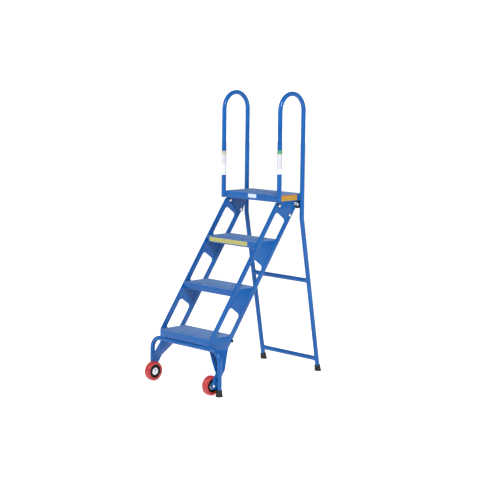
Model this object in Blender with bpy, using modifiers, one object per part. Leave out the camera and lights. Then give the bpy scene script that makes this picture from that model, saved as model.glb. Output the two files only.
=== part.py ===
"""Folding mobile ladder stand: three treads and a platform between two handrail loops.

X runs across the stand, +X on the climber's right. Y runs from the climber's side to the
back, and Z up. Below, Y is counted from the handrails' front tubes, and the root empty
moves the whole stand so that the origin is at the middle of its footprint, on the floor.
"""

import math

import bmesh
import bpy
from mathutils import Matrix, Vector

OBJECT_NAME = "mobile_ladder_stand"

# Driving dimensions, in metres.
PLATFORM_TOP = 1.000
STEP_RISE = 0.237
STEP_DEPTH = 0.178
STEP_PROUD = 0.005
STEP_TRIM = 0.001
STEP_FACE = 0.035
LOWEST_STEP_FACE = 0.0385
PLATFORM_FACE = 0.038
GAP = 0.0003

# Bent tube frame.
TUBE_R = 0.0127
TUBE_WALL = 0.0016
TUBE_SIDES_RES = 4
RAIL_X = 0.210
LOOP_DEPTH = 0.181
LOOP_TOP = 1.5365
RAIL_BOTTOM = 0.965
REAR_BEND_Z = 0.868
REAR_FOOT_Y = 0.337
REAR_BEND_R = 0.100
UPPER_BAR_Z = 0.5175
LOWER_BAR_Z = 0.070

# Platform.
PLATFORM_FRONT = 0.004
PLATFORM_BACK = 0.208
PLATFORM_HALF = 0.197
PLATFORM_SHEET = 0.003
STEP_SHEET = 0.0025
PAN_CORNER_R = 0.004
LABEL_THICK = 0.0004

# Stair side plates. The front edge is a line in Y and Z, and "behind" is square to it.
PLATE_IN = 0.188
PLATE_OUT = 0.191
EDGE_Y_AT_TOP = 0.0243
STRINGER_RUN = 0.713
PLATE_WIDTH = 0.147
PLATE_FRONT_LIMIT = -0.481
PLATE_BOTTOM = 0.2217
PLATE_TOP = 0.978
PLATE_LIP = 0.960
HOLE_FRONT = 0.032
HOLE_BACK = 0.116
HOLE_DROP = 0.084
HOLE_SILL = 0.002
HOLE_TOP_R = 0.017
HOLE_SILL_R = 0.010

# Fold pivot, stop and their hardware.
PIVOT = Vector((0.107, 0.889))
STOP = Vector((0.025, 0.944))
SHANK_R = 0.005
HOLE_R = SHANK_R + GAP
HEAD_R = 0.0088
HEAD_H = 0.0045
NUT_R = 0.0092
NUT_H = 0.007
THIN_NUT_H = 0.004
EAR_IN = 0.1832
EAR_OUT = 0.1864
EAR_BACK = 0.150
BUSH_R = 0.0077
EAR_BOSS_R = 0.0138
SHANK_END = 0.1772

# Front base, wheel brackets and wheels.
BASE_X = 0.258
BASE_Y = -0.477
BASE_Z = 0.2358
BASE_BEND_R = 0.062
BRACKET_SPREAD = 0.577
BRACKET_OUT = 0.2450
BRACKET_SHEET = PLATE_OUT - PLATE_IN
AXLE = Vector((-0.502, 0.0575))
AXLE_END_R = 0.0185
BRACKET_FRONT = ((-0.4880, 0.181), (-0.4925, 0.137), (-0.4900, 0.1205))
BRACKET_REAR = ((-0.4487, 0.095), (-0.4235, 0.1296))
WHEEL_R = 0.051
WHEEL_IN = 0.205
WHEEL_OUT = 0.239
CORE_R = 0.036
HUB_R = 0.020

# Feet, latch and bumpers.
FOOT_H = 0.0355
FOOT_R = 0.0185
FOOT_TOP_R = 0.0158
FOOT_FLOOR = 0.010
LATCH_PIVOT = Vector((0.160, 0.941))
LATCH_HOLE_R = 0.0033
STRIKE = Vector((0.140, 0.945))
STRIKE_R = 0.002
LEVER_IN = 0.1985
LEVER_OUT = 0.2012
LEVER_SWING_GAP = 0.0005

ORIGIN_SHIFT = -(AXLE.x - WHEEL_R + REAR_FOOT_Y + FOOT_R) / 2

STRINGER_COS = 1 / math.hypot(1, STRINGER_RUN)
UP_STRINGER = Vector((STRINGER_RUN, 1)).normalized()
BEHIND = Vector((UP_STRINGER.y, -UP_STRINGER.x))

SIDES = (("right", 1), ("left", -1))


def clear_scene():
    for obj in list(bpy.data.objects):
        bpy.data.objects.remove(obj, do_unlink=True)


def make_collection(name):
    collection = bpy.data.collections.new(name)
    bpy.context.scene.collection.children.link(collection)
    return collection


def make_material(name, colour, roughness, metallic=0.0):
    material = bpy.data.materials.new(name)
    material.use_nodes = True
    shader = material.node_tree.nodes["Principled BSDF"]
    shader.inputs["Base Color"].default_value = (*colour, 1.0)
    shader.inputs["Roughness"].default_value = roughness
    shader.inputs["Metallic"].default_value = metallic
    return material


clear_scene()
PARTS = make_collection(OBJECT_NAME)
CUTTERS = make_collection(OBJECT_NAME + "_cutters")

BLUE = make_material("blue_powder_coat", (0.03, 0.13, 0.42), 0.35)
TREAD = make_material("tread_coat", (0.10, 0.20, 0.45), 0.60)
ZINC = make_material("zinc_plate", (0.62, 0.64, 0.66), 0.35, 1.0)
RUBBER = make_material("black_rubber", (0.02, 0.02, 0.02), 0.80)
PLASTIC = make_material("black_plastic", (0.03, 0.03, 0.03), 0.50)
RED = make_material("red_polyurethane", (0.65, 0.06, 0.04), 0.45)
NYLON = make_material("white_nylon", (0.80, 0.80, 0.76), 0.50)
WHITE_LABEL = make_material("white_label", (0.80, 0.80, 0.78), 0.50)
YELLOW_LABEL = make_material("yellow_label", (0.75, 0.66, 0.15), 0.50)
ORANGE_LABEL = make_material("orange_label", (0.80, 0.45, 0.05), 0.50)


# Helpers.


def add_object(name, mesh, material):
    obj = bpy.data.objects.new(name, mesh)
    PARTS.objects.link(obj)
    if material is not None:
        mesh.materials.clear()
        mesh.materials.append(material)
    return obj


def smooth(obj, angle=math.radians(35)):
    obj.data.shade_smooth()
    obj.data.set_sharp_from_angle(angle=angle)
    return obj


def evaluated_mesh(obj):
    bpy.context.view_layer.update()
    graph = bpy.context.evaluated_depsgraph_get()
    return bpy.data.meshes.new_from_object(obj.evaluated_get(graph))


def circle(centre, radius, count=14):
    turn = 2 * math.pi / count
    return [
        Vector(centre) + radius * Vector((math.cos(i * turn), math.sin(i * turn)))
        for i in range(count)
    ]


def rounded(corners, radii, closed=False, steps=4):
    """The corners joined by straight runs, each corner replaced by an arc of its radius."""
    corners = [Vector(c) for c in corners]
    points = []
    for i, corner in enumerate(corners):
        radius = radii[i] if isinstance(radii, (list, tuple)) else radii
        is_end = not closed and i in (0, len(corners) - 1)
        if is_end or radius == 0:
            points.append(corner)
            continue
        back = (corners[i - 1] - corner).normalized()
        ahead = (corners[(i + 1) % len(corners)] - corner).normalized()
        half = back.angle(ahead) / 2
        reach = radius / math.tan(half)
        middle = corner + (back + ahead).normalized() * (radius / math.sin(half))
        start = corner + back * reach - middle
        end = corner + ahead * reach - middle
        sweep = start.angle(end)
        for k in range(steps + 1):
            a, b = math.sin(sweep * (1 - k / steps)), math.sin(sweep * k / steps)
            points.append(middle + (start * a + end * b) / math.sin(sweep))
    return points


def add_spline(curve, points, cyclic):
    spline = curve.splines.new("POLY")
    spline.points.add(len(points) - 1)
    for target, point in zip(spline.points, points):
        target.co = (*Vector(point).to_3d(), 1.0)
    spline.use_cyclic_u = cyclic


def mesh_from_curve(name, curve, matrix, material):
    """The curve as a mesh object whose caps are welded to its sides."""
    holder = bpy.data.objects.new(name + "_curve", curve)
    PARTS.objects.link(holder)
    mesh = evaluated_mesh(holder)
    bpy.data.objects.remove(holder)
    bm = bmesh.new()
    bm.from_mesh(mesh)
    bmesh.ops.remove_doubles(bm, verts=bm.verts, dist=1e-5)
    bm.to_mesh(mesh)
    bm.free()
    obj = add_object(name, mesh, material)
    obj.matrix_world = matrix
    return obj


# Turns a drawing in X and Y into one in the stand's Y and Z, with its height along X.
SIDE_VIEW = Matrix(((0, 0, 1, 0), (1, 0, 0, 0), (0, 1, 0, 0), (0, 0, 0, 1)))


def side_plate(name, outline, holes, x_in, x_out, material):
    """A flat plate drawn in Y and Z, between two X positions."""
    curve = bpy.data.curves.new(name, "CURVE")
    curve.dimensions = "2D"
    curve.fill_mode = "BOTH"
    curve.extrude = (x_out - x_in) / 2
    for points in (outline, *holes):
        add_spline(curve, points, True)
    matrix = Matrix.Translation(((x_in + x_out) / 2, 0, 0)) @ SIDE_VIEW
    obj = mesh_from_curve(name, curve, matrix, material)
    obj.data.transform(matrix)
    obj.matrix_world = Matrix.Identity(4)
    return obj


def tube(name, route, material=BLUE, radius=TUBE_R, wall=TUBE_WALL):
    """An open round tube along a route, with its wall inside the outer radius."""
    curve = bpy.data.curves.new(name, "CURVE")
    curve.dimensions = "3D"
    curve.bevel_depth = radius
    curve.bevel_resolution = TUBE_SIDES_RES
    add_spline(curve, route, False)
    obj = mesh_from_curve(name, curve, Matrix.Identity(4), material)
    solid = obj.modifiers.new("wall", "SOLIDIFY")
    solid.thickness = wall
    solid.offset = -1
    return smooth(obj)


def turned(name, profile, centre, axis, material, steps=18):
    """A turned solid. The profile is (radius, height), down the outer side."""
    closed = profile[0][0] > 0
    mesh = bpy.data.meshes.new(name)
    verts = [(r, 0, h) for r, h in profile]
    count = len(verts)
    edges = [(i, (i + 1) % count) for i in range(count if closed else count - 1)]
    mesh.from_pydata(verts, edges, [])
    obj = add_object(name, mesh, material)
    turn = Vector(axis).to_track_quat("Z", "Y").to_matrix().to_4x4()
    obj.matrix_world = Matrix.Translation(centre) @ turn
    screw = obj.modifiers.new("turn", "SCREW")
    screw.steps = steps
    screw.render_steps = steps
    screw.use_merge_vertices = True
    screw.merge_threshold = 1e-5
    screw.use_smooth_shade = True
    return obj


def ring(name, inner, outer, low, high, centre, axis, material, steps=18):
    profile = [(outer, high), (outer, low), (inner, low), (inner, high)]
    return turned(name, profile, centre, axis, material, steps)


def as_cutter(obj):
    PARTS.objects.unlink(obj)
    CUTTERS.objects.link(obj)
    obj.hide_render = True
    obj.display_type = "WIRE"
    return obj


def rod_cutter(name, start, end, radius, count=24):
    """A cutter rod between two points."""
    start, end = Vector(start), Vector(end)
    along = end - start
    bm = bmesh.new()
    bmesh.ops.create_cone(
        bm, cap_ends=True, segments=count, radius1=radius, radius2=radius, depth=along.length
    )
    mesh = bpy.data.meshes.new(name)
    bm.to_mesh(mesh)
    bm.free()
    turn = along.to_track_quat("Z", "Y").to_matrix().to_4x4()
    mesh.transform(Matrix.Translation((start + end) / 2) @ turn)
    return as_cutter(add_object(name, mesh, None))


def box_mesh(name, low, high):
    low, high = Vector(low), Vector(high)
    place = Matrix.Translation((low + high) / 2) @ Matrix.Diagonal((*(high - low), 1))
    bm = bmesh.new()
    bmesh.ops.create_cube(bm, size=1, matrix=place)
    mesh = bpy.data.meshes.new(name)
    bm.to_mesh(mesh)
    bm.free()
    return mesh


def cut(obj, cutter):
    modifier = obj.modifiers.new("cut", "BOOLEAN")
    modifier.operation = "DIFFERENCE"
    modifier.object = cutter
    return obj


def mirrored(obj, name):
    """A copy of an object's finished shape on the other side of the stand."""
    mesh = evaluated_mesh(obj)
    mesh.transform(Matrix.Diagonal((-1, 1, 1, 1)) @ obj.matrix_world)
    mesh.flip_normals()
    material = obj.data.materials[0]
    return add_object(name, mesh, material)


def pair(obj):
    """Renames a right-hand piece, adds its left-hand one, and returns both."""
    base = obj.name
    obj.name = base + "_right"
    return [obj, mirrored(obj, base + "_left")]


# Geometry that several pieces share.


def tread_top(count):
    return PLATFORM_TOP - count * STEP_RISE


def edge_y(z, behind=0.0):
    """Y on the stringer's front edge at a height, or on a line behind it."""
    return EDGE_Y_AT_TOP - (PLATFORM_TOP - z) * STRINGER_RUN + behind / STRINGER_COS


def edge_point(z, behind=0.0):
    return Vector((edge_y(z, behind), z))


def rear_leg_y(z):
    slope = (REAR_FOOT_Y - LOOP_DEPTH) / REAR_BEND_Z
    return REAR_FOOT_Y - z * slope


def at_x(x, point):
    """A side-view point at a distance across the stand."""
    return Vector((x, point[0], point[1]))


REAR_LEG_AXIS = Vector((0, rear_leg_y(1) - rear_leg_y(0), 1)).normalized()


# The rear frame: handrail loops, crossbars, platform.


def handrail_leg():
    end = Vector((RAIL_X, REAR_FOOT_Y, 0)) + REAR_LEG_AXIS * (FOOT_FLOOR + GAP)
    corners = (
        (RAIL_X, 0, RAIL_BOTTOM),
        (RAIL_X, 0, LOOP_TOP),
        (RAIL_X, LOOP_DEPTH, LOOP_TOP),
        (RAIL_X, LOOP_DEPTH, REAR_BEND_Z),
        end,
    )
    half = LOOP_DEPTH / 2 - 1e-6
    route = rounded(corners, (0, half, half, REAR_BEND_R, 0), steps=7)
    return pair(tube("handrail_leg", route))


def rear_leg_cutters():
    top = REAR_BEND_Z
    return [
        rod_cutter(
            "rear_leg_space_" + side,
            (sign * RAIL_X, rear_leg_y(0), 0),
            (sign * RAIL_X, rear_leg_y(top), top),
            TUBE_R + GAP,
        )
        for side, sign in SIDES
    ]


def crossbars():
    cutters = rear_leg_cutters()
    bars = []
    for name, z in (("crossbar_upper", UPPER_BAR_Z), ("crossbar_lower", LOWER_BAR_Z)):
        y = rear_leg_y(z)
        bar = tube(name, ((-RAIL_X, y, z), (RAIL_X, y, z)))
        for cutter in cutters:
            cut(bar, cutter)
        bars.append(bar)
    return bars


def folded_pan(name, half_width, y_span, z_top, face, sheet, trim_line=None):
    """A sheet folded down on its four sides, open underneath.

    Where a trim line is given, what lies behind it, square to the stringer, is cut away.
    """
    y_front, y_back = y_span
    low = (-half_width, y_front, z_top - face)
    mesh = box_mesh(name, low, (half_width, y_back, z_top))
    bm = bmesh.new()
    bm.from_mesh(mesh)
    under = [wall for wall in bm.faces if wall.normal.z < -0.5]
    bmesh.ops.delete(bm, geom=under, context="FACES")
    folds = [edge for edge in bm.edges if len(edge.link_faces) == 2]
    bmesh.ops.bevel(bm, geom=folds, offset=PAN_CORNER_R, segments=2, profile=0.5, affect="EDGES")
    if trim_line is not None:
        everything = bm.verts[:] + bm.edges[:] + bm.faces[:]
        bmesh.ops.bisect_plane(
            bm,
            geom=everything,
            plane_co=at_x(0, trim_line),
            plane_no=at_x(0, BEHIND),
            clear_outer=True,
        )
    bm.to_mesh(mesh)
    bm.free()
    obj = add_object(name, mesh, TREAD)
    solid = obj.modifiers.new("sheet", "SOLIDIFY")
    solid.thickness = sheet
    solid.offset = -1
    solid.use_even_offset = True
    return obj


def platform():
    y_span = (PLATFORM_FRONT, PLATFORM_BACK)
    return folded_pan(
        "platform_pan", PLATFORM_HALF, y_span, PLATFORM_TOP, PLATFORM_FACE, PLATFORM_SHEET
    )


def hinge_ears():
    """Plates under the platform that carry the pivot and seat the stop bolt."""
    outward = (STOP - PIVOT).normalized()
    front = PLATFORM_FRONT + PLATFORM_SHEET + 0.0045
    under = PLATFORM_TOP - PLATFORM_SHEET - GAP
    boss_low = PIVOT.y - EAR_BOSS_R
    boss_half = EAR_BOSS_R + 0.002
    seat_behind, seat_beyond = 0.0145, 0.0160
    corners = (
        (front, under),
        (EAR_BACK, under),
        (EAR_BACK, PLATFORM_TOP - 0.050),
        (PIVOT.x + boss_half, boss_low),
        (PIVOT.x - boss_half, boss_low),
        STOP - outward * seat_behind,
        STOP + outward * seat_beyond,
    )
    outline = rounded(corners, (0, 0, 0.012, EAR_BOSS_R, EAR_BOSS_R, 0.002, 0.002), closed=True)
    bush_hole = circle(PIVOT, BUSH_R + GAP, 18)
    ear = side_plate("hinge_ear", outline, [bush_hole], EAR_IN, EAR_OUT, BLUE)
    seat = rod_cutter(
        "stop_seat_space",
        at_x(EAR_IN - 0.01, STOP),
        at_x(EAR_OUT + 0.01, STOP),
        HOLE_R,
        18,
    )
    return pair(cut(ear, seat))


def pivot_bushes():
    centre = at_x(0, PIVOT)
    bush = ring(
        "pivot_bush", HOLE_R, BUSH_R, EAR_IN - 0.0001, EAR_OUT + 0.0001, centre, (1, 0, 0), NYLON
    )
    return pair(bush)


def foot(name, floor_point, axis):
    """A rubber foot that the tube's end is pushed into, cut flat at the floor."""
    bore = TUBE_R + GAP
    profile = (
        (0, FOOT_FLOOR),
        (bore, FOOT_FLOOR),
        (bore, FOOT_H),
        (FOOT_TOP_R - 0.001, FOOT_H),
        (FOOT_TOP_R, FOOT_H - 0.001),
        (FOOT_TOP_R + 0.0012, 0.012),
        (FOOT_R, 0.006),
        (FOOT_R, -0.006),
        (0, -0.006),
    )
    obj = turned(name, profile, floor_point, axis, RUBBER)
    below = box_mesh(name + "_floor", (-0.4, -0.7, -0.05), (0.4, 0.5, 0))
    return cut(obj, as_cutter(add_object(name + "_floor", below, None)))


def rear_feet():
    return pair(foot("rear_foot", (RAIL_X, REAR_FOOT_Y, 0), REAR_LEG_AXIS))


def rail_plugs():
    """Plugs in the open lower ends of the handrails' front tubes."""
    stem = TUBE_R - TUBE_WALL - 0.0005
    profile = (
        (0, 0.015),
        (stem - 0.001, 0.015),
        (stem, 0.013),
        (stem, -GAP),
        (TUBE_R - 0.0005, -GAP),
        (TUBE_R - 0.0005, -0.003),
        (0, -0.003),
    )
    return pair(turned("rail_plug", profile, (RAIL_X, 0, RAIL_BOTTOM), (0, 0, 1), PLASTIC, 12))


# The latch, on the right only.


def latch_bracket():
    top = PLATFORM_TOP - PLATFORM_FACE - GAP
    back, bottom = LATCH_PIVOT.x + 0.022, LATCH_PIVOT.y - 0.019
    corners = (
        (LATCH_PIVOT.x - 0.012, top),
        (back, top),
        (back, bottom),
        (LATCH_PIVOT.x - 0.010, bottom),
        (LATCH_PIVOT.x - 0.016, bottom + 0.012),
    )
    outline = rounded(corners, (0, 0, 0.003, 0.005, 0.006), closed=True)
    hole = circle(LATCH_PIVOT, LATCH_HOLE_R, 16)
    inner, outer = PLATFORM_HALF - PLATFORM_SHEET, PLATFORM_HALF
    return [side_plate("latch_bracket", outline, [hole], inner, outer, PLASTIC)]


def latch_lever():
    """A zinc lever that swings on the bracket and hooks over the stair's strike pin."""
    lip_back = STRIKE.x - STRIKE_R - 0.0004
    lip_front = lip_back - 0.0026
    throat = STRIKE.y + STRIKE_R + 0.0005
    lip_low = STRIKE.y - 0.006
    back, bottom = LATCH_PIVOT.x + 0.0085, LATCH_PIVOT.y - 0.0075
    thumb_front, thumb_top = STRIKE.x - 0.0135, STRIKE.y + 0.0135
    corners = (
        (back, bottom),
        (back, LATCH_PIVOT.y + 0.0080),
        (LATCH_PIVOT.x - 0.006, thumb_top - 0.003),
        (thumb_front, thumb_top),
        (thumb_front, thumb_top - 0.0045),
        (lip_front, thumb_top - 0.0055),
        (lip_front, lip_low),
        (lip_back, lip_low),
        (lip_back, throat),
        (LATCH_PIVOT.x - 0.0100, throat),
        (LATCH_PIVOT.x - 0.0085, bottom),
    )
    radii = (0.006, 0.007, 0.010, 0.002, 0.002, 0.0015, 0.001, 0.001, 0.001, 0.003, 0.004)
    outline = rounded(corners, radii, closed=True, steps=3)
    hole = circle(LATCH_PIVOT, LATCH_HOLE_R, 16)
    return [side_plate("latch_lever", outline, [hole], LEVER_IN, LEVER_OUT, ZINC)]


def latch_pin():
    """The lever's pivot: a shouldered pin through the bracket."""
    inner = PLATFORM_HALF - PLATFORM_SHEET
    pin_r, head_r, shoulder_r = LATCH_HOLE_R - GAP, 0.0058, 0.0046
    head_out = LEVER_OUT + 0.0022
    profile = (
        (0, head_out),
        (head_r - 0.0008, head_out),
        (head_r, head_out - 0.0010),
        (head_r, LEVER_OUT + GAP),
        (pin_r, LEVER_OUT + GAP),
        (pin_r, inner - GAP),
        (shoulder_r, inner - GAP),
        (shoulder_r, inner - 0.0015),
        (0, inner - 0.0015),
    )
    return [turned("latch_pin", profile, at_x(0, LATCH_PIVOT), (1, 0, 0), ZINC, 16)]


def strike_pin():
    """A shouldered pin on the right side plate, ending just short of the latch lever."""
    flange_r, flange_out = 0.0045, PLATE_OUT + 0.002
    tip = LEVER_IN - LEVER_SWING_GAP
    profile = (
        (0, tip),
        (STRIKE_R, tip),
        (STRIKE_R, flange_out),
        (flange_r, flange_out),
        (flange_r, PLATE_OUT + GAP),
        (0, PLATE_OUT + GAP),
    )
    return [turned("strike_pin", profile, at_x(0, STRIKE), (1, 0, 0), ZINC, 16)]


# The stair: side plates, treads, front base.


def tread_hole(z_above):
    """The cutout in a side plate below the tread or platform at a height."""
    z_sill = z_above - STEP_RISE - HOLE_SILL
    top = edge_point(z_above) - UP_STRINGER * HOLE_DROP
    corners = (
        top + BEHIND * HOLE_FRONT,
        top + BEHIND * HOLE_BACK,
        edge_point(z_sill, HOLE_BACK),
        edge_point(z_sill, HOLE_FRONT),
    )
    return rounded(corners, (HOLE_TOP_R, HOLE_TOP_R, HOLE_SILL_R, HOLE_SILL_R), closed=True)


def stair_plates():
    knee_z = PLATFORM_TOP - (EDGE_Y_AT_TOP - PLATE_FRONT_LIMIT) / STRINGER_RUN
    crown_r = PLATE_TOP - PIVOT.y
    crown_turn = math.radians(60)
    crown_end = PIVOT + crown_r * Vector((math.cos(crown_turn), math.sin(crown_turn)))
    corners = (
        (BASE_Y + 0.0085, PLATE_BOTTOM),
        (PLATE_FRONT_LIMIT, BASE_Z),
        (PLATE_FRONT_LIMIT, knee_z),
        edge_point(PLATE_LIP),
        (0.012, PLATE_LIP + 0.002),
        (0.026, PLATE_TOP),
        (PIVOT.x + 0.030, PLATE_TOP),
        crown_end,
        edge_point(0.938, PLATE_WIDTH),
        (edge_y(PLATE_BOTTOM, PLATE_WIDTH), PLATE_BOTTOM),
    )
    radii = (0, 0, 0.020, 0.004, 0.002, 0.004, 0.020, 0.008, 0.006, 0)
    outline = rounded(corners, radii, closed=True)
    holes = [tread_hole(tread_top(count)) for count in range(3)]
    holes += [circle(PIVOT, HOLE_R), circle(STOP, HOLE_R)]
    plate = side_plate("side_plate", outline, holes, PLATE_IN, PLATE_OUT, BLUE)
    notch = rod_cutter(
        "base_tube_space",
        (PLATE_IN - 0.01, BASE_Y, BASE_Z),
        (PLATE_OUT + 0.01, BASE_Y, BASE_Z),
        TUBE_R + GAP,
    )
    return pair(cut(plate, notch))


def treads():
    steps = []
    faces = (STEP_FACE, STEP_FACE, LOWEST_STEP_FACE)
    for count, name in enumerate(("step_upper", "step_middle", "step_lower")):
        z = tread_top(count + 1)
        front = edge_y(z) - STEP_PROUD
        y_span = (front, front + STEP_DEPTH)
        trim = edge_point(z, PLATE_WIDTH - STEP_TRIM)
        steps.append(folded_pan(name, PLATE_IN - GAP, y_span, z, faces[count], STEP_SHEET, trim))
    return steps


def base_tube():
    foot_end = FOOT_FLOOR + GAP
    corners = (
        (-BASE_X, BASE_Y, foot_end),
        (-BASE_X, BASE_Y, BASE_Z),
        (BASE_X, BASE_Y, BASE_Z),
        (BASE_X, BASE_Y, foot_end),
    )
    route = rounded(corners, (0, BASE_BEND_R, BASE_BEND_R, 0), steps=6)
    return [tube("front_base_tube", route)]


def front_feet():
    return pair(foot("front_foot", (BASE_X, BASE_Y, 0), (0, 0, 1)))


def wheel_brackets():
    """Plates that run on from the side plates, out to the base tube's legs and the axles."""
    top = PLATE_BOTTOM - GAP
    back = edge_y(PLATE_BOTTOM, PLATE_WIDTH)
    corners = (
        (PLATE_FRONT_LIMIT, top),
        *BRACKET_FRONT,
        (AXLE.x - AXLE_END_R, AXLE.y + 0.010),
        (AXLE.x - AXLE_END_R, AXLE.y - AXLE_END_R),
        (AXLE.x + AXLE_END_R, AXLE.y - AXLE_END_R),
        *BRACKET_REAR,
        (back, top),
    )
    radii = (0, 0.020, 0.020, 0.012, 0.008, AXLE_END_R, 0.016, 0.030, 0.030, 0)
    outline = rounded(corners, radii, closed=True)
    bracket = side_plate(
        "wheel_bracket", outline, [circle(AXLE, HOLE_R)], PLATE_IN, PLATE_OUT, BLUE
    )
    bend_z = PLATE_BOTTOM - (BRACKET_OUT - PLATE_OUT) / BRACKET_SPREAD
    bm = bmesh.new()
    bm.from_mesh(bracket.data)
    everything = bm.verts[:] + bm.edges[:] + bm.faces[:]
    bmesh.ops.bisect_plane(bm, geom=everything, plane_co=(0, 0, bend_z), plane_no=(0, 0, 1))
    for vert in bm.verts:
        vert.co.x += BRACKET_SPREAD * (PLATE_BOTTOM - max(vert.co.z, bend_z))
    bm.to_mesh(bracket.data)
    bm.free()
    return pair(bracket)


# Fasteners. Their profiles run along X, from outside to inside.


def headed_bolt(name, point, x_head, x_end):
    """A round-headed bolt whose head's underside is at x_head."""
    profile = (
        (0, x_head + HEAD_H),
        (HEAD_R * 0.45, x_head + HEAD_H * 0.92),
        (HEAD_R * 0.80, x_head + HEAD_H * 0.62),
        (HEAD_R, x_head + HEAD_H * 0.20),
        (HEAD_R, x_head),
        (SHANK_R, x_head),
        (SHANK_R, x_end + 0.0008),
        (SHANK_R - 0.0008, x_end),
        (0, x_end),
    )
    return pair(turned(name, profile, at_x(0, point), (1, 0, 0), ZINC, 14))


def hex_nut(name, point, x_low, x_high):
    bm = bmesh.new()
    bmesh.ops.create_cone(
        bm, cap_ends=True, segments=6, radius1=NUT_R, radius2=NUT_R, depth=x_high - x_low
    )
    mesh = bpy.data.meshes.new(name)
    bm.to_mesh(mesh)
    bm.free()
    centre = at_x((x_low + x_high) / 2, point)
    mesh.transform(Matrix.Translation(centre) @ SIDE_VIEW)
    nut = add_object(name, mesh, ZINC)
    bore = rod_cutter(
        name + "_bore",
        at_x(x_low - 0.01, point),
        at_x(x_high + 0.01, point),
        HOLE_R,
        14,
    )
    return pair(cut(nut, bore))


def pivot_and_stop_hardware():
    made = []
    nut_high = EAR_IN - 0.0004
    for name, point in (("pivot", PIVOT), ("stop", STOP)):
        made += headed_bolt(name + "_bolt", point, PLATE_OUT + GAP, SHANK_END)
        made += hex_nut(name + "_nut", point, nut_high - THIN_NUT_H, nut_high)
    washer = ring(
        "pivot_washer",
        HOLE_R,
        0.012,
        EAR_OUT + GAP,
        PLATE_IN - GAP,
        at_x(0, PIVOT),
        (1, 0, 0),
        NYLON,
    )
    return made + pair(washer)


def axle_hardware():
    nut_high = WHEEL_IN - 0.0008
    made = headed_bolt("axle_bolt", AXLE, BRACKET_OUT + GAP, nut_high - NUT_H - 0.002)
    made += hex_nut("axle_nut", AXLE, nut_high - NUT_H, nut_high)
    spacer = ring(
        "axle_spacer",
        HOLE_R,
        0.010,
        WHEEL_OUT + 0.0008,
        BRACKET_OUT - BRACKET_SHEET - GAP,
        at_x(0, AXLE),
        (1, 0, 0),
        ZINC,
    )
    return made + pair(spacer)


def bumpers():
    """Rubber blocks on the side plates' rear edges, low down."""
    foot_of = edge_point(0.259, PLATE_WIDTH)
    near, far = foot_of + BEHIND * GAP, foot_of + BEHIND * 0.008
    corners = (
        near - UP_STRINGER * 0.008,
        near + UP_STRINGER * 0.008,
        far + UP_STRINGER * 0.006,
        far - UP_STRINGER * 0.006,
    )
    outline = rounded(corners, (0, 0, 0.003, 0.003), closed=True)
    return pair(side_plate("bumper", outline, [], PLATE_IN, PLATE_OUT + 0.005, RUBBER))


# Wheels.


def wheels():
    """Each wheel is a tyre on a plastic core, on a zinc hub that turns on the axle bolt."""
    centre = at_x((WHEEL_IN + WHEEL_OUT) / 2, AXLE)
    half = (WHEEL_OUT - WHEEL_IN) / 2
    shoulder = WHEEL_R - 0.006
    tyre = (
        (CORE_R + GAP, half - 0.001),
        (shoulder - 0.004, half),
        (shoulder, half - 0.0008),
        (WHEEL_R - 0.0018, half - 0.0055),
        (WHEEL_R, half - 0.011),
        (WHEEL_R, 0.011 - half),
        (WHEEL_R - 0.0018, 0.0055 - half),
        (shoulder, 0.0008 - half),
        (shoulder - 0.004, -half),
        (CORE_R + GAP, 0.001 - half),
    )
    core = (
        (HUB_R + GAP, half - 0.0030),
        (CORE_R - 0.006, half - 0.0045),
        (CORE_R - 0.002, half - 0.0015),
        (CORE_R, half - 0.0015),
        (CORE_R, 0.0015 - half),
        (CORE_R - 0.002, 0.0015 - half),
        (CORE_R - 0.006, 0.0045 - half),
        (HUB_R + GAP, 0.0030 - half),
    )
    hub = (
        (HOLE_R, half),
        (0.0115, half),
        (0.0125, half - 0.002),
        (HUB_R - 0.001, half - 0.002),
        (HUB_R, half - 0.003),
        (HUB_R, 0.003 - half),
        (HUB_R - 0.001, 0.002 - half),
        (0.0125, 0.002 - half),
        (0.0115, -half),
        (HOLE_R, -half),
    )
    made = []
    for name, profile, material, steps in (
        ("wheel_tyre", tyre, RED, 28),
        ("wheel_core", core, PLASTIC, 20),
        ("wheel_hub", hub, ZINC, 16),
    ):
        made += pair(turned(name, profile, centre, (1, 0, 0), material, steps))
    return made


# Stickers, each a thin plate just off the surface it sits on.


def labels_on_frame():
    front_y = PLATFORM_FRONT - GAP
    side_x = PLATFORM_HALF + GAP
    front = box_mesh(
        "label_platform_front",
        (-0.024, front_y - LABEL_THICK, PLATFORM_TOP - 0.026),
        (0.037, front_y, PLATFORM_TOP - 0.0055),
    )
    side = box_mesh(
        "label_platform_side",
        (side_x, 0.016, PLATFORM_TOP - 0.033),
        (side_x + LABEL_THICK, 0.155, PLATFORM_TOP - 0.002),
    )
    return [
        add_object("label_platform_front", front, WHITE_LABEL),
        add_object("label_platform_side", side, ORANGE_LABEL),
        *rail_labels(),
    ]


def rail_labels():
    """A wrapped sticker on each handrail's front tube, the right one a little higher."""
    inner = TUBE_R + GAP
    labels = []
    for side, sign, low, high in (("right", 1, 1.114, 1.240), ("left", -1, 1.0855, 1.2165)):
        centre = (sign * RAIL_X, 0, (low + high) / 2)
        half = (high - low) / 2
        name = "label_rail_" + side
        labels.append(
            ring(name, inner, inner + LABEL_THICK, -half, half, centre, (0, 0, 1), WHITE_LABEL)
        )
    return labels


def label_on_step():
    z = tread_top(1)
    face = edge_y(z) - STEP_PROUD - GAP
    low, high = (-0.164, face - LABEL_THICK, z - 0.029), (0.125, face, z - 0.005)
    mesh = box_mesh("label_step", low, high)
    return [add_object("label_step", mesh, YELLOW_LABEL)]


# Assembly: each moving group hangs from an empty on its joint's axis.


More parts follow.
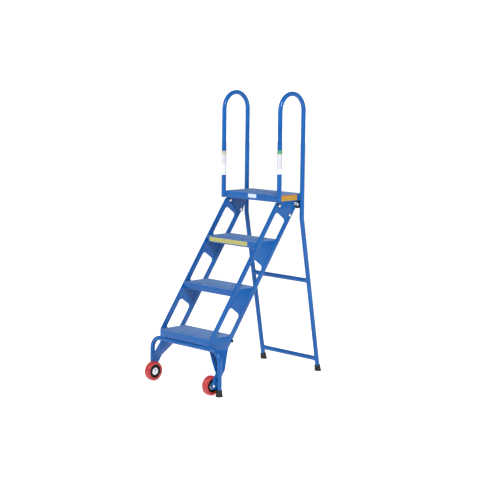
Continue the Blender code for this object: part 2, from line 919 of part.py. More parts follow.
def joint_empty(name, place, parent=None):
    empty = bpy.data.objects.new(name, None)
    empty.empty_display_size = 0.05
    empty.location = place
    PARTS.objects.link(empty)
    if parent is not None:
        hang(empty, parent)
    bpy.context.view_layer.update()
    return empty


def hang(piece, empty):
    """Parents a piece to an empty, keeping its place within the stand."""
    piece.parent = empty
    piece.matrix_parent_inverse = empty.matrix_world.inverted()


def rear_frame_pieces():
    return [
        *handrail_leg(),
        *crossbars(),
        platform(),
        *hinge_ears(),
        *pivot_bushes(),
        *rear_feet(),
        *rail_plugs(),
        *latch_bracket(),
        *latch_pin(),
        *labels_on_frame(),
    ]


def stair_pieces():
    return [
        *stair_plates(),
        *treads(),
        *base_tube(),
        *wheel_brackets(),
        *front_feet(),
        *pivot_and_stop_hardware(),
        *axle_hardware(),
        *bumpers(),
        *strike_pin(),
        *label_on_step(),
    ]


def assemble():
    root = joint_empty("stand_origin", (0, 0, 0))
    fold = joint_empty("fold_axis", at_x(0, PIVOT), root)
    latch = joint_empty("latch_axis", at_x(LEVER_IN, LATCH_PIVOT), root)
    groups = [(root, rear_frame_pieces()), (fold, stair_pieces()), (latch, latch_lever())]
    rolling = wheels()
    for side, sign in SIDES:
        place = at_x(sign * (WHEEL_IN + WHEEL_OUT) / 2, AXLE)
        own = [piece for piece in rolling if piece.name.endswith(side)]
        groups.append((joint_empty("wheel_axis_" + side, place, fold), own))
    for empty, pieces in groups:
        for piece in pieces:
            hang(piece, empty)
    for cutter in CUTTERS.objects:
        hang(cutter, root)
    root.location.y = ORIGIN_SHIFT


assemble()
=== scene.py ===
import math

import bmesh
import bpy
from mathutils import Matrix, Vector


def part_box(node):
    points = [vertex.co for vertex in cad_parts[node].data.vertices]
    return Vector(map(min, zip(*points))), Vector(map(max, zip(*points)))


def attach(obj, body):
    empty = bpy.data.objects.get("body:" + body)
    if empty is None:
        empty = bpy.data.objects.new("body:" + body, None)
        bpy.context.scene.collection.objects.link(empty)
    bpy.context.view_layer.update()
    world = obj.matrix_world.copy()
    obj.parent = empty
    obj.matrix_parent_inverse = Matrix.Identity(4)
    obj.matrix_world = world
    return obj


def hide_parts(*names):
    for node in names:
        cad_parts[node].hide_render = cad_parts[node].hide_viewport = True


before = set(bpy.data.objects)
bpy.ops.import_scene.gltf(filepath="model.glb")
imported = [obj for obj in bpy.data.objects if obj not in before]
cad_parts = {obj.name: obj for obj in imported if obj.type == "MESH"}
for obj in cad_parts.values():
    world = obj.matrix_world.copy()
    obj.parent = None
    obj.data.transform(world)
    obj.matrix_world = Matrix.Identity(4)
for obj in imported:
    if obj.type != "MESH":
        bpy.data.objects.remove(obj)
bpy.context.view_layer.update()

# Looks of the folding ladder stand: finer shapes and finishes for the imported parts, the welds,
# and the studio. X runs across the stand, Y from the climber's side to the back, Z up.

SIDES = (("right", 1), ("left", -1))
TREADS = ("step_upper", "step_middle", "step_lower")


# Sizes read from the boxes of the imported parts.


def low(node):
    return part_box(node)[0]


def high(node):
    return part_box(node)[1]


def middle(node):
    return (low(node) + high(node)) / 2


TUBE_R = (high("crossbar_upper") - low("crossbar_upper")).z / 2
RAIL_X = high("handrail_leg_right").x - TUBE_R
RAIL_Y = low("handrail_leg_right").y + TUBE_R
LOOP_TOP = high("handrail_leg_right").z - TUBE_R
BASE_X = high("front_base_tube").x - TUBE_R
BASE_Y = middle("front_base_tube").y
BASE_Z = high("front_base_tube").z - TUBE_R
PLATE_IN = low("side_plate_right").x
PLATE_OUT = high("side_plate_right").x
SEAM_Z = low("side_plate_right").z
WHEEL = middle("wheel_tyre_right")
WHEEL_R = high("wheel_tyre_right").z - WHEEL.z
WHEEL_HALF = high("wheel_tyre_right").x - WHEEL.x


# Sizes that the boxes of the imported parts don't give. Metres, as everywhere.

MERGE = 1e-6
SEAT_GAP = 0.0003

TUBE_SIDES = 40
BEND_STEPS = 20
LOOP_DEPTH = 0.181
REAR_BEND_Z = 0.868
REAR_BEND_R = 0.100
REAR_FOOT_REACH = 0.337
REAR_FOOT = Vector((RAIL_X, RAIL_Y + REAR_FOOT_REACH, 0))
BASE_BEND_R = 0.062
PLUG_CAP = 0.003
CROSSBAR_INSET = 0.4 * TUBE_R

STRINGER_RUN = 0.713
BEHIND = Vector((0, 1, -STRINGER_RUN)).normalized()
TREAD_SHEET = 0.0025
PLATFORM_SHEET = 0.003
FOLD_R = 0.004
RIM_EASE = 0.0006
PLATE_EASE = 0.0005
RUBBER_EASE = 0.0008
LATCH_EASE = 0.0004

BOLT_HEAD_R = 0.0088
BOLT_SIDES = 40
SHANK_R = 0.005
THREAD_PITCH = 0.0012
THREAD_DEPTH = 0.0005
NUT_R = 0.0092
NUT_SIDES = 6
BORE_R = 0.0053

FOOT_FLOOR = 0.0103
FOOT_TOP = 0.0355
FOOT_FLOOR_R = 0.0185
FOOT_TOP_R = 0.0158
CORE_R = 0.036
RIBS = 8

BEAD_R = 0.0016
BEAD_PITCH = 0.0030
BEAD_RIPPLE = 0.16


# Small mesh tools.


def rounded(corners, radii, steps=12):
    """The corners joined by straight runs, each inner corner replaced by an arc."""
    corners = [Vector(corner) for corner in corners]
    points = [corners[0]]
    for i, radius in enumerate(radii, start=1):
        corner = corners[i]
        back = (corners[i - 1] - corner).normalized()
        ahead = (corners[i + 1] - corner).normalized()
        half = back.angle(ahead) / 2
        centre = corner + (back + ahead).normalized() * (radius / math.sin(half))
        start = corner + back * (radius / math.tan(half)) - centre
        end = corner + ahead * (radius / math.tan(half)) - centre
        sweep = start.angle(end)
        for k in range(steps + 1):
            a, b = math.sin(sweep * (1 - k / steps)), math.sin(sweep * k / steps)
            points.append(centre + (start * a + end * b) / math.sin(sweep))
    return points + [corners[-1]]


def ring_points(centre, radius, start=0.0, turn=2 * math.pi, steps=36):
    """Points of a circle, or of a part of one, in a plane across the stand's X."""
    return [
        centre + radius * Vector((0, math.cos(a), math.sin(a)))
        for a in (start + turn * k / steps for k in range(steps + 1))
    ]


def lines_mesh(name, routes):
    """A mesh of loose edges that runs through each route's points."""
    mesh = bpy.data.meshes.new(name)
    points, edges = [], []
    for route in routes:
        first = len(points)
        points += route
        edges += [(first + i, first + i + 1) for i in range(len(route) - 1)]
    mesh.from_pydata(points, edges, [])
    return mesh


def mesh_of(name, bm):
    mesh = bpy.data.meshes.new(name)
    bm.to_mesh(mesh)
    bm.free()
    return mesh


def linked(name, data):
    """A new object in the scene that shows the data."""
    obj = bpy.data.objects.new(name, data)
    bpy.context.scene.collection.objects.link(obj)
    return obj


def finished(obj):
    """The object's mesh with its modifiers applied. The object itself is removed."""
    bpy.context.view_layer.update()
    graph = bpy.context.evaluated_depsgraph_get()
    made = bpy.data.meshes.new_from_object(obj.evaluated_get(graph))
    bpy.data.objects.remove(obj)
    return made


def smooth(mesh, angle=math.radians(32)):
    mesh.shade_smooth()
    mesh.set_sharp_from_angle(angle=angle)
    return mesh


def turned_mesh(name, profile, sides=72):
    """A closed shape turned about X from (x, radius) points. A radius of 0 is a single point."""
    joined = profile[0] == profile[-1]
    points, rings = [], []
    for x, r in profile[:-1] if joined else profile:
        first = len(points)
        count = sides if r else 1
        for k in range(count):
            a = 2 * math.pi * k / sides
            points.append((x, -r * math.sin(a), r * math.cos(a)))
        rings.append([first + k % count for k in range(sides)])
    if joined:
        rings.append(rings[0])
    faces = []
    for one, two in zip(rings, rings[1:]):
        for k in range(sides):
            last = (k + 1) % sides
            faces.append(list(dict.fromkeys((one[k], one[last], two[last], two[k]))))
    mesh = bpy.data.meshes.new(name)
    mesh.from_pydata(points, [], faces)
    bm = bmesh.new()
    bm.from_mesh(mesh)
    bmesh.ops.recalc_face_normals(bm, faces=bm.faces)
    return smooth(mesh_of(name, bm))


def piece(name, mesh, body, replaced, materials):
    """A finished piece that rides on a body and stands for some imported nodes."""
    obj = linked(name, mesh)
    if materials:
        mesh.materials.clear()
        for material in materials:
            mesh.materials.append(material)
    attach(obj, body)
    if replaced:
        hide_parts(*replaced)
    return obj


# Node trees.


def add_node(tree, kind, settings=None, values=None):
    """A node with its settings made, and its inputs set or linked."""
    node = tree.nodes.new(kind)
    for name, setting in (settings or {}).items():
        setattr(node, name, setting)
    for key, value in (values or {}).items():
        if isinstance(value, bpy.types.NodeSocket):
            tree.links.new(value, node.inputs[key])
        else:
            node.inputs[key].default_value = value
    return node


def geometry_tree(name, inputs):
    """An empty geometry tree with named inputs, and its group input node."""
    tree = bpy.data.node_groups.new(name, "GeometryNodeTree")
    tree.interface.new_socket("Geometry", in_out="OUTPUT", socket_type="NodeSocketGeometry")
    tree.interface.new_socket("Geometry", in_out="INPUT", socket_type="NodeSocketGeometry")
    for label, kind in inputs:
        tree.interface.new_socket(label, in_out="INPUT", socket_type="NodeSocket" + kind)
    tree.interface.new_socket("Finish", in_out="INPUT", socket_type="NodeSocketMaterial")
    return tree, add_node(tree, "NodeGroupInput")


def end_tree(tree, source, geometry):
    real = add_node(tree, "GeometryNodeRealizeInstances", values={"Geometry": geometry})
    values = {"Geometry": real.outputs[0], "Material": source.outputs["Finish"]}
    coated = add_node(tree, "GeometryNodeSetMaterial", values=values)
    add_node(tree, "NodeGroupOutput", values={"Geometry": coated.outputs[0]})


def bent_tube_tree():
    """A round bar swept along each run of edges."""
    tree, source = geometry_tree("bent_tube", (("Radius", "Float"), ("Sides", "Int")))
    path = add_node(tree, "GeometryNodeMeshToCurve", values={"Mesh": source.outputs["Geometry"]})
    section = {"Resolution": source.outputs["Sides"], "Radius": source.outputs["Radius"]}
    circle = add_node(tree, "GeometryNodeCurvePrimitiveCircle", values=section)
    sweep = {"Curve": path.outputs[0], "Profile Curve": circle.outputs[0], "Fill Caps": True}
    tube = add_node(tree, "GeometryNodeCurveToMesh", values=sweep)
    end_tree(tree, source, tube.outputs[0])
    return tree


def weld_bead_tree():
    """A rippled bead of weld along each run of edges, with four rings to a ripple."""
    rings = 4.0
    sizes = (("Radius", "Float"), ("Pitch", "Float"), ("Ripple", "Float"))
    tree, source = geometry_tree("weld_bead", sizes)
    path = add_node(tree, "GeometryNodeMeshToCurve", values={"Mesh": source.outputs["Geometry"]})
    step = add_node(
        tree,
        "ShaderNodeMath",
        {"operation": "DIVIDE"},
        {0: source.outputs["Pitch"], 1: rings},
    )
    even = add_node(
        tree,
        "GeometryNodeResampleCurve",
        {"mode": "LENGTH"},
        {"Curve": path.outputs[0], "Length": step.outputs[0]},
    )
    count = add_node(tree, "GeometryNodeInputIndex")
    angle = add_node(
        tree,
        "ShaderNodeMath",
        {"operation": "MULTIPLY"},
        {0: count.outputs[0], 1: 2 * math.pi / rings},
    )
    wave = add_node(tree, "ShaderNodeMath", {"operation": "SINE"}, {0: angle.outputs[0]})
    swell = add_node(
        tree,
        "ShaderNodeMath",
        {"operation": "MULTIPLY_ADD"},
        {0: wave.outputs[0], 1: source.outputs["Ripple"], 2: 1.0},
    )
    width = add_node(
        tree,
        "ShaderNodeMath",
        {"operation": "MULTIPLY"},
        {0: swell.outputs[0], 1: source.outputs["Radius"]},
    )
    section = add_node(
        tree, "GeometryNodeCurvePrimitiveCircle", values={"Resolution": 10, "Radius": 1.0}
    )
    sweep = {
        "Curve": even.outputs[0],
        "Profile Curve": section.outputs[0],
        "Scale": width.outputs[0],
        "Fill Caps": True,
    }
    bead = add_node(tree, "GeometryNodeCurveToMesh", values=sweep)
    end_tree(tree, source, bead.outputs[0])
    return tree


def copies_tree():
    """A piece set at each point, turned as the point's own "turn" says."""
    tree, source = geometry_tree("copies_at_points", (("Piece", "Object"),))
    one = add_node(tree, "GeometryNodeObjectInfo", values={"Object": source.outputs["Piece"]})
    named = add_node(
        tree, "GeometryNodeInputNamedAttribute", {"data_type": "FLOAT_VECTOR"}, {"Name": "turn"}
    )
    turn = add_node(tree, "FunctionNodeEulerToRotation", values={0: named.outputs[0]})
    values = {
        "Points": source.outputs["Geometry"],
        "Instance": one.outputs["Geometry"],
        "Rotation": turn.outputs[0],
    }
    copies = add_node(tree, "GeometryNodeInstanceOnPoints", values=values)
    end_tree(tree, source, copies.outputs[0])
    return tree


def grown(mesh, tree, values, material):
    """The plain mesh that a tree makes from a mesh of edges or points."""
    obj = linked(tree.name + "_work", mesh)
    modifier = obj.modifiers.new("grow", "NODES")
    modifier.node_group = tree
    inputs = [item for item in tree.interface.items_tree if item.in_out == "INPUT"]
    sockets = {item.name: item.identifier for item in inputs}
    for label, value in {**values, "Finish": material}.items():
        modifier[sockets[label]] = value
    return finished(obj)


def copies(name, places, mesh, material):
    """Copies of a mesh at (point, turn) places, as one plain mesh."""
    pattern = linked(name + "_pattern", mesh)
    points = bpy.data.meshes.new(name + "_points")
    points.from_pydata([place for place, _ in places], [], [])
    turns = points.attributes.new("turn", "FLOAT_VECTOR", "POINT")
    for i, (_, turn) in enumerate(places):
        turns.data[i].vector = turn
    made = grown(points, COPIES, {"Piece": pattern}, material)
    bpy.data.objects.remove(pattern)
    return smooth(made)


# Shader maths.


class Field:
    """A value that changes over a surface. Sums on it add Math nodes."""

    def __init__(self, finish, socket):
        self.finish, self.socket = finish, socket

    def math(self, operation, first, second):
        values = {0: first, 1: second}
        return self.finish.add("ShaderNodeMath", {"operation": operation}, values)

    def __add__(self, other):
        return self.math("ADD", self, other)

    def __mul__(self, other):
        return self.math("MULTIPLY", self, other)

    def __sub__(self, other):
        return self.math("SUBTRACT", self, other)

    def __rsub__(self, other):
        return self.math("SUBTRACT", other, self)

    def __gt__(self, other):
        return self.math("GREATER_THAN", self, other)

    def __lt__(self, other):
        return self.math("LESS_THAN", self, other)

    __radd__ = __add__
    __rmul__ = __mul__


class Finish:
    """A material: constants on its shader's own sockets, and nodes for what varies."""

    def __init__(self, name, **constants):
        self.material = bpy.data.materials.new(name)
        self.material.use_nodes = True
        self.tree = self.material.node_tree
        self.shader = self.tree.nodes["Principled BSDF"]
        for label, value in constants.items():
            self.shader.inputs[label.replace("_", " ")].default_value = value

    def add(self, kind, settings=None, values=None, output=0):
        plain = {k: v.socket if isinstance(v, Field) else v for k, v in (values or {}).items()}
        node = add_node(self.tree, kind, settings, plain)
        return Field(self, node.outputs[output])

    def place(self):
        return self.add("ShaderNodeTexCoord", output=3)

    def axes(self):
        node = self.add("ShaderNodeSeparateXYZ", values={0: self.place()}).socket.node
        return [Field(self, socket) for socket in node.outputs]

    def noise(self, scale, detail=3.0, roughness=0.55):
        values = {"Vector": self.place(), "Scale": scale, "Detail": detail, "Roughness": roughness}
        return self.add("ShaderNodeTexNoise", values=values)

    def between(self, field, start, end):
        """0 where the field is at start, 1 at end, straight between and held beyond."""
        values = {0: field, 1: start, 2: end}
        return self.add("ShaderNodeMapRange", {"clamp": True}, values)

    def blend(self, amount, first, second):
        settings = {"data_type": "RGBA"}
        return self.add("ShaderNodeMix", settings, {0: amount, 6: first, 7: second}, output=2)

    def bump(self, height, distance, strength=1.0):
        values = {"Height": height, "Distance": distance, "Strength": strength}
        self.feed("Normal", self.add("ShaderNodeBump", values=values))

    def feed(self, label, field):
        self.tree.links.new(field.socket, self.shader.inputs[label])


def colour(red, green, blue):
    """A screen colour, each part from 0 to 255, as the shader's own."""

    def linear(part):
        part /= 255
        return part / 12.92 if part <= 0.04045 else ((part + 0.055) / 1.055) ** 2.4

    return (linear(red), linear(green), linear(blue), 1.0)


# Finishes.


def powder_coat(name, light, dark, sheen=0.10):
    """Semi-gloss paint with an orange-peel skin and slow changes of tone."""
    peel_height = 0.00004
    finish = Finish(name, Specular_IOR_Level=0.22)
    tone = finish.between(finish.noise(scale=7.0, detail=4.0), 0.35, 0.68)
    finish.feed("Base Color", finish.blend(tone, dark, light))
    finish.feed("Roughness", sheen + 0.16 * finish.noise(scale=38.0))
    peel = finish.noise(scale=620.0, detail=2.0) + 0.5 * finish.noise(scale=190.0, detail=2.0)
    finish.bump(peel, peel_height, strength=0.3)
    return finish.material


def gritty_coat(name, front, rear, rim, glint):
    """Anti-slip coat, mottled, with painted light on its top: lighter to the back as a painted
    reflection, lighter patches of painted reflection, and a greyer rim of painted shade along the
    rear edge.
    """
    grit_height = 0.0006
    finish = Finish(name, Specular_IOR_Level=0.18)
    depth = finish.add("ShaderNodeAttribute", {"attribute_name": "depth"}, output=2)
    mottle = finish.noise(scale=22.0, detail=6.0, roughness=0.75)
    speck = finish.noise(scale=420.0, roughness=0.7)
    # Painted reflection: the top blends from the darker front colour to the lighter rear colour,
    # broken up by the mottle.
    along = finish.between(depth + 1.3 * (mottle - 0.5), 0.0, 0.75)
    ground = finish.blend(along, front, rear)
    # Painted reflection: lighter, greyer patches blended towards the rim colour.
    patch = finish.between(finish.noise(scale=60.0, detail=5.0, roughness=0.75), 0.42, 0.66)
    painted_reflections = finish.blend(0.5 * patch, ground, rim)
    # Painted shade: a greyer rim along the rear edge, where the top meets the rear fold.
    edge = finish.between(depth, 0.90, 0.97)
    topped = finish.blend(0.85 * edge, painted_reflections, rim)
    grain = finish.between(speck, 0.30, 0.72)
    finish.feed("Base Color", finish.blend(0.10 * grain, topped, glint))
    finish.feed("Roughness", 0.55 + 0.3 * speck)
    finish.bump(speck + 0.6 * mottle, grit_height, strength=0.8)
    return finish.material


def zinc(name, tint, polish):
    """Bright plated steel with fine turning marks and cloudy patches."""
    mark_height = 0.00005
    finish = Finish(name, Metallic=1.0)
    cloud = finish.noise(scale=160.0, detail=4.0)
    dull = colour(*(0.72 * part for part in tint))
    finish.feed("Base Color", finish.blend(finish.between(cloud, 0.3, 0.7), dull, colour(*tint)))
    finish.feed("Roughness", polish + 0.22 * cloud)
    finish.bump(finish.noise(scale=900.0, detail=2.0), mark_height, strength=0.4)
    return finish.material


def moulded(name, tint, lighter, roughness, grain):
    """A moulded rubber or plastic with a fine grain and scuffs."""
    grain_height = 0.00015
    finish = Finish(name, Specular_IOR_Level=0.35)
    scuff = finish.between(finish.noise(scale=90.0, detail=5.0, roughness=0.7), 0.48, 0.75)
    finish.feed("Base Color", finish.blend(0.6 * scuff, colour(*tint), colour(*lighter)))
    finish.feed("Roughness", roughness + 0.2 * scuff)
    finish.bump(finish.noise(grain, detail=2.0), grain_height, strength=0.5)
    return finish.material


def film(name, ground, print_tint, pitch, across, bands=()):
    """Printed sticker film: a ground, plain coloured bands, and rows of faint broken bars."""
    row_gap, ink = 0.55, 0.30
    row_change = 3000
    wrinkle_height = 0.00004
    finish = Finish(name, Specular_IOR_Level=0.3, Roughness=0.38)
    width, _, height = finish.axes()
    row = finish.add("ShaderNodeMath", {"operation": "FRACT"}, {0: (1 / pitch) * height})
    spread = {0: across * width, 1: row_change * height}
    spots = finish.add("ShaderNodeCombineXYZ", values=spread)
    broken = finish.add(
        "ShaderNodeTexNoise",
        {"noise_dimensions": "2D"},
        {"Vector": spots, "Scale": 1.0, "Detail": 1.0},
    )
    marks = (row > row_gap) * finish.between(broken, 0.42, 0.52)
    paint = finish.blend(ink * marks, colour(*ground), colour(*print_tint))
    for start, end, tint in bands:
        inside = (height > start) * (height < end)
        paint = finish.blend(inside, paint, colour(*tint))
    grime = finish.between(finish.noise(scale=30.0), 0.3, 0.7)
    finish.feed("Base Color", finish.blend(0.10 * grime, paint, colour(120, 120, 120)))
    finish.bump(finish.noise(scale=240.0, detail=2.0), wrinkle_height, strength=0.3)
    return finish.material


BLUE = powder_coat("blue_powder_coat", colour(16, 79, 142), colour(9, 69, 131))
# The coat on the welds is the blue powder coat made lighter: a painted highlight on the weld
# beads.
WELD_HIGHLIGHT_BLUE = powder_coat("blue_coat_on_weld", colour(52, 112, 178), colour(26, 84, 150), 0.10)
GRIT = gritty_coat(
    "anti_slip_coat",
    # The darker front and lighter rear colours are painted reflection on the treads' tops; rim is
    # painted shade along the rear edge and painted reflection in patches.
    front=colour(46, 88, 144),
    rear=colour(80, 118, 168),
    rim=colour(112, 124, 150),
    glint=colour(150, 172, 208),
)
ZINC = zinc("zinc_plate", (238, 241, 245), polish=0.16)
RUBBER = moulded("black_rubber", (20, 21, 22), (46, 47, 48), roughness=0.72, grain=500.0)
PLASTIC = moulded("black_plastic", (18, 19, 20), (40, 41, 43), roughness=0.42, grain=700.0)
RED = moulded("red_polyurethane", (150, 34, 34), (172, 60, 58), roughness=0.34, grain=260.0)
NYLON = moulded("white_nylon", (214, 214, 206), (190, 190, 182), roughness=0.45, grain=500.0)

RIGHT_TOP = high("label_rail_right").z
LEFT_TOP = high("label_rail_left").z
SIDE_TOP = high("label_platform_side").z
RAIL_BAND_TOP = low("label_rail_right").z + 0.028
RIGHT_RAIL_FILM = film(
    "right_rail_film",
    ground=(173, 174, 180),
    print_tint=(96, 100, 110),
    pitch=0.0042,
    across=900,
    bands=(
        (RIGHT_TOP - 0.020, RIGHT_TOP, (74, 128, 92)),
        (0, RAIL_BAND_TOP, (188, 190, 194)),
    ),
)
LEFT_RAIL_FILM = film(
    "left_rail_film",
    ground=(180, 182, 186),
    print_tint=(90, 94, 104),
    pitch=0.0042,
    across=900,
    bands=(
        (LEFT_TOP - 0.022, LEFT_TOP, (162, 156, 136)),
        (0, RAIL_BAND_TOP, (192, 194, 196)),
    ),
)
FRONT_FILM = film(
    "front_film", ground=(176, 188, 212), print_tint=(90, 100, 130), pitch=0.0040, across=700
)
YELLOW_FILM = film(
    "yellow_film", ground=(152, 148, 82), print_tint=(110, 112, 96), pitch=0.0052, across=420
)
ORANGE_FILM = film(
    "orange_film",
    ground=(160, 120, 26),
    print_tint=(128, 84, 26),
    pitch=0.0060,
    across=0,
    bands=((SIDE_TOP - 0.0045, SIDE_TOP, (150, 78, 40)),),
)

TUBE = bent_tube_tree()
BEAD = weld_bead_tree()
COPIES = copies_tree()


# Bent tubes.


def tube_mesh(route):
    mesh = lines_mesh("tube_route", [route])
    return smooth(grown(mesh, TUBE, {"Radius": TUBE_R, "Sides": TUBE_SIDES}, BLUE))


def handrail_legs():
    """Each side is one tube: up the front, over the loop, down and back to the foot."""
    for side, sign in SIDES:
        x = sign * RAIL_X
        back_y = RAIL_Y + LOOP_DEPTH
        slope = Vector((0, back_y - REAR_FOOT.y, REAR_BEND_Z)).normalized()
        corners = (
            (x, RAIL_Y, low("rail_plug_right").z + PLUG_CAP),
            (x, RAIL_Y, LOOP_TOP),
            (x, back_y, LOOP_TOP),
            (x, back_y, REAR_BEND_Z),
            Vector((x, REAR_FOOT.y, 0)) + slope * FOOT_FLOOR,
        )
        half = LOOP_DEPTH / 2 - MERGE
        route = rounded(corners, (half, half, REAR_BEND_R), BEND_STEPS)
        name = "handrail_leg_" + side
        piece("fine_" + name, tube_mesh(route), "rear_frame", [name], None)


def crossbars():
    """Straight bars between the rear legs, run a little way into their walls."""
    for name in ("crossbar_upper", "crossbar_lower"):
        centre = middle(name)
        reach = RAIL_X - CROSSBAR_INSET
        route = [Vector((s * reach, centre.y, centre.z)) for s in (-1, 0, 1)]
        piece("fine_" + name, tube_mesh(route), "rear_frame", [name], None)


def base_tube():
    """One tube: the bar across the front, and the two front legs."""
    corners = (
        (-BASE_X, BASE_Y, FOOT_FLOOR),
        (-BASE_X, BASE_Y, BASE_Z),
        (BASE_X, BASE_Y, BASE_Z),
        (BASE_X, BASE_Y, FOOT_FLOOR),
    )
    route = rounded(corners, (BASE_BEND_R, BASE_BEND_R), BEND_STEPS)
    name = "front_base_tube"
    piece("fine_base_tube", tube_mesh(route), "stair", [name], None)


# Folded treads and the platform.


def folded_pan(node, sheet, trimmed):
    """A folded sheet with rounded edges, and its depth from front to back kept at each point.

    A trimmed one is cut away behind the stringers' rear edges.
    """
    upward, downward = 0.6, -0.5
    level = 0.0002
    bottom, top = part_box(node)
    place = Matrix.Translation((bottom + top) / 2) @ Matrix.Diagonal((*(top - bottom), 1))
    bm = bmesh.new()
    bmesh.ops.create_cube(bm, size=1, matrix=place)
    under = [face for face in bm.faces if face.normal.z < downward]
    bmesh.ops.delete(bm, geom=under, context="FACES")
    folds = [edge for edge in bm.edges if len(edge.link_faces) == 2]
    bmesh.ops.bevel(bm, geom=folds, offset=FOLD_R, segments=6, profile=0.5, affect="EDGES")
    if trimmed:
        corners = [vert.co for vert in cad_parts[node].data.vertices]
        corner = max((co for co in corners if co.z < bottom.z + level), key=lambda co: co.y)
        everything = bm.verts[:] + bm.edges[:] + bm.faces[:]
        bmesh.ops.bisect_plane(
            bm, geom=everything, plane_co=corner, plane_no=BEHIND, clear_outer=True
        )
    bmesh.ops.recalc_face_normals(bm, faces=bm.faces)
    if sum(face.normal.z for face in bm.faces) < 0:
        bmesh.ops.reverse_faces(bm, faces=bm.faces)
    obj = linked("pan_work", mesh_of("fine_" + node, bm))
    solid = obj.modifiers.new("sheet", "SOLIDIFY")
    solid.thickness = sheet
    solid.offset = -1
    solid.use_even_offset = True
    rim = obj.modifiers.new("rim", "BEVEL")
    rim.width = RIM_EASE
    rim.segments = 2
    rim.angle_limit = math.radians(60)
    made = finished(obj)
    made.materials.clear()
    made.materials.append(BLUE)
    made.materials.append(GRIT)
    depth = made.attributes.new("depth", "FLOAT", "POINT")
    for vert in made.vertices:
        depth.data[vert.index].value = (vert.co.y - bottom.y) / (top.y - bottom.y)
    for face in made.polygons:
        if face.normal.z > upward and face.center.z > top.z - FOLD_R:
            face.material_index = 1
    return smooth(made, math.radians(40))


def pans():
    """The three treads, and the platform."""
    for node in TREADS:
        made = folded_pan(node, TREAD_SHEET, trimmed=True)
        piece("fine_" + node, made, "stair", [node], None)
    made = folded_pan("platform_pan", PLATFORM_SHEET, trimmed=False)
    piece("fine_platform", made, "rear_frame", ["platform_pan"], None)


# Flat plates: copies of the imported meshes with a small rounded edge.


def eased(node, body, material, width=PLATE_EASE):
    """The node's shape, merged, with its edges eased and its round faces smooth."""
    bm = bmesh.new()
    bm.from_mesh(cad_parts[node].data)
    bmesh.ops.remove_doubles(bm, verts=bm.verts, dist=MERGE)
    bmesh.ops.dissolve_limit(
        bm, angle_limit=math.radians(0.5), verts=bm.verts, edges=bm.edges, delimit={"NORMAL"}
    )
    obj = linked("eased_work", mesh_of("eased_" + node, bm))
    if width:
        bevel = obj.modifiers.new("ease", "BEVEL")
        bevel.width = width
        bevel.segments = 2
        bevel.limit_method = "ANGLE"
        bevel.angle_limit = math.radians(50)
        bevel.use_clamp_overlap = True
    piece("eased_" + node, smooth(finished(obj)), body, [node], [material])


def flat_plates():
    """Side plates, brackets, ears, bumpers and the latch."""
    for side, _ in SIDES:
        eased("side_plate_" + side, "stair", BLUE)
        eased("wheel_bracket_" + side, "stair", BLUE)
        eased("hinge_ear_" + side, "rear_frame", BLUE)
        eased("bumper_" + side, "stair", RUBBER, RUBBER_EASE)
    eased("latch_bracket", "rear_frame", PLASTIC, LATCH_EASE)
    eased("latch_lever", "latch", ZINC, LATCH_EASE)


# Turned hardware.


def bolt_profile(node, x_head):
    """A domed head with its underside at x_head, and a threaded shank to the node's inner end."""
    rim, chamfer, neck, runout = 0.30, 0.0004, 0.0008, 0.0020
    x_end, x_top = low(node).x, high(node).x
    height = x_top - x_head
    dome = [
        (x_head + height * (rim + (1 - rim) * math.sin(a)), BOLT_HEAD_R * math.cos(a))
        for a in (math.radians(10 * k) for k in range(9))
    ]
    profile = [(x_end, 0.0), (x_end, SHANK_R - neck)]
    first = x_end + THREAD_PITCH / 2
    for k in range(int((x_head - x_end - runout) / THREAD_PITCH)):
        profile += [
            (first + k * THREAD_PITCH, SHANK_R),
            (first + (k + 0.5) * THREAD_PITCH, SHANK_R - THREAD_DEPTH),
        ]
    profile += [(x_head - neck, SHANK_R), (x_head, SHANK_R)]
    profile += [(x_head, BOLT_HEAD_R - chamfer), (x_head + chamfer, BOLT_HEAD_R)]
    return profile + dome + [(x_top, 0.0)]


def nut_profile(x_low, x_high):
    chamfer, rise = 0.0012, 0.00072
    return [
        (x_low, BORE_R),
        (x_low, NUT_R - chamfer),
        (x_low + rise, NUT_R),
        (x_high - rise, NUT_R),
        (x_high, NUT_R - chamfer),
        (x_high, BORE_R),
        (x_low, BORE_R),
    ]


def both_sides(node):
    """A right-hand node's middle and its mirror, the left one turned end for end."""
    point = middle(node)
    mirror = Vector((-point.x, point.y, point.z))
    return [(point, (0, 0, 0)), (mirror, (0, 0, math.pi))]


def at_origin(profile, node):
    """The profile moved so that the node's middle is at zero."""
    centre = middle(node).x
    return [(x - centre, r) for x, r in profile]


def fastener_pair(name, profile, sides):
    """A right-hand fastener and its mirror, as one piece."""
    node = name + "_right"
    mesh = turned_mesh(name, at_origin(profile, node), sides)
    made = copies(name, both_sides(node), mesh, ZINC)
    piece("fine_" + name + "s", made, "stair", [node, name + "_left"], None)


def fasteners():
    heads = {
        "pivot_bolt": PLATE_OUT + SEAT_GAP,
        "stop_bolt": PLATE_OUT + SEAT_GAP,
        "axle_bolt": high("wheel_bracket_right").x + SEAT_GAP,
    }
    for name, x_head in heads.items():
        fastener_pair(name, bolt_profile(name + "_right", x_head), BOLT_SIDES)
    for name in ("pivot_nut", "stop_nut", "axle_nut"):
        node = name + "_right"
        fastener_pair(name, nut_profile(low(node).x, high(node).x), NUT_SIDES)


def small_turned_parts():
    """Packed turned parts that keep their shape, with smooth round faces."""
    for side, _ in SIDES:
        eased("axle_spacer_" + side, "stair", ZINC, 0)
        eased("pivot_washer_" + side, "stair", NYLON, 0)
        eased("pivot_bush_" + side, "rear_frame", NYLON, 0)
        eased("rail_plug_" + side, "rear_frame", PLASTIC, 0)
    eased("latch_pin", "rear_frame", ZINC, 0)
    eased("strike_pin", "stair", ZINC, 0)


# Rubber feet.


